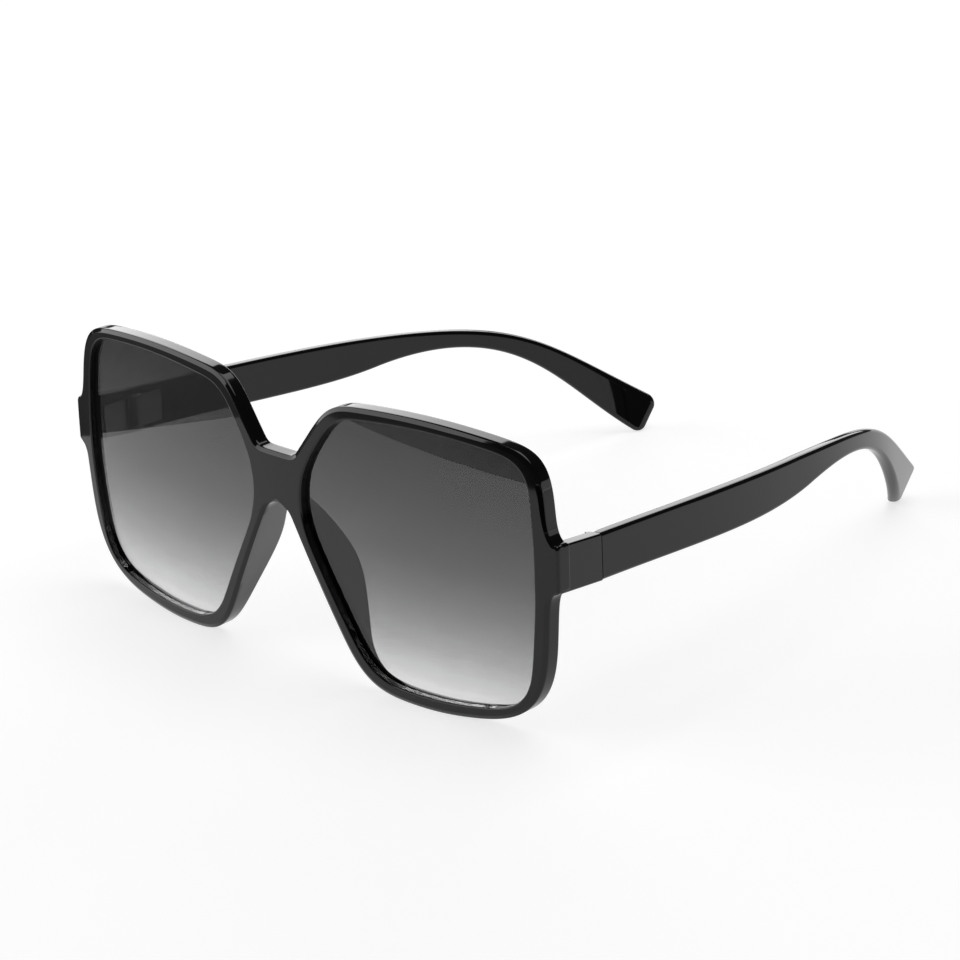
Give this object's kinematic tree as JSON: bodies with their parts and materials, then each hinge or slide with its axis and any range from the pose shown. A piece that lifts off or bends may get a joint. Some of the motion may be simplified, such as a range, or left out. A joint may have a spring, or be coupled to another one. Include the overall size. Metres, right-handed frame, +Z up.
{
  "type": "polarized_sunglasses",
  "caption": "Sunglasses with a glossy black one-piece front, large grey laminated polarizing lenses and temples that fold inwards on pinned hinges",
  "frame": {"origin": "on the table that the glasses stand on, under the middle of their footprint", "axes": "+Z up; the wearer looks along -Y and the temples reach back along +Y; +X is the wearer's left"},
  "size_m": [0.1424, 0.1571, 0.0616],
  "materials": {
    "frame_plastic": "glossy",
    "lens": "glossy",
    "polarizing_film": "glossy",
    "hinge_metal": "satin",
    "screw_metal": "satin"
  },
  "bodies": {
    "front": {"front_frame": "frame_plastic", "left_lens_front_layer": "lens", "left_polarizing_film": "polarizing_film", "left_lens_back_layer": "lens", "right_lens_front_layer": "lens", "right_polarizing_film": "polarizing_film", "right_lens_back_layer": "lens", "left_front_hinge_leaf": "hinge_metal", "right_front_hinge_leaf": "hinge_metal", "left_hinge_screw": "screw_metal", "right_hinge_screw": "screw_metal"},
    "left_side": {"left_temple": "frame_plastic", "left_temple_hinge_leaf": "hinge_metal"},
    "right_side": {"right_temple": "frame_plastic", "right_temple_hinge_leaf": "hinge_metal"}
  },
  "joints": [
    {"name": "left_fold", "type": "hinge", "parent": "front", "child": "left_side", "pos_m": [0.067, -0.05817, 0.03521], "axis": [0, 0, 1], "range_deg": [0, 81]},
    {"name": "right_fold", "type": "hinge", "parent": "front", "child": "right_side", "pos_m": [-0.067, -0.05817, 0.03521], "axis": [0, 0, -1], "range_deg": [0, 74]}
  ]
}
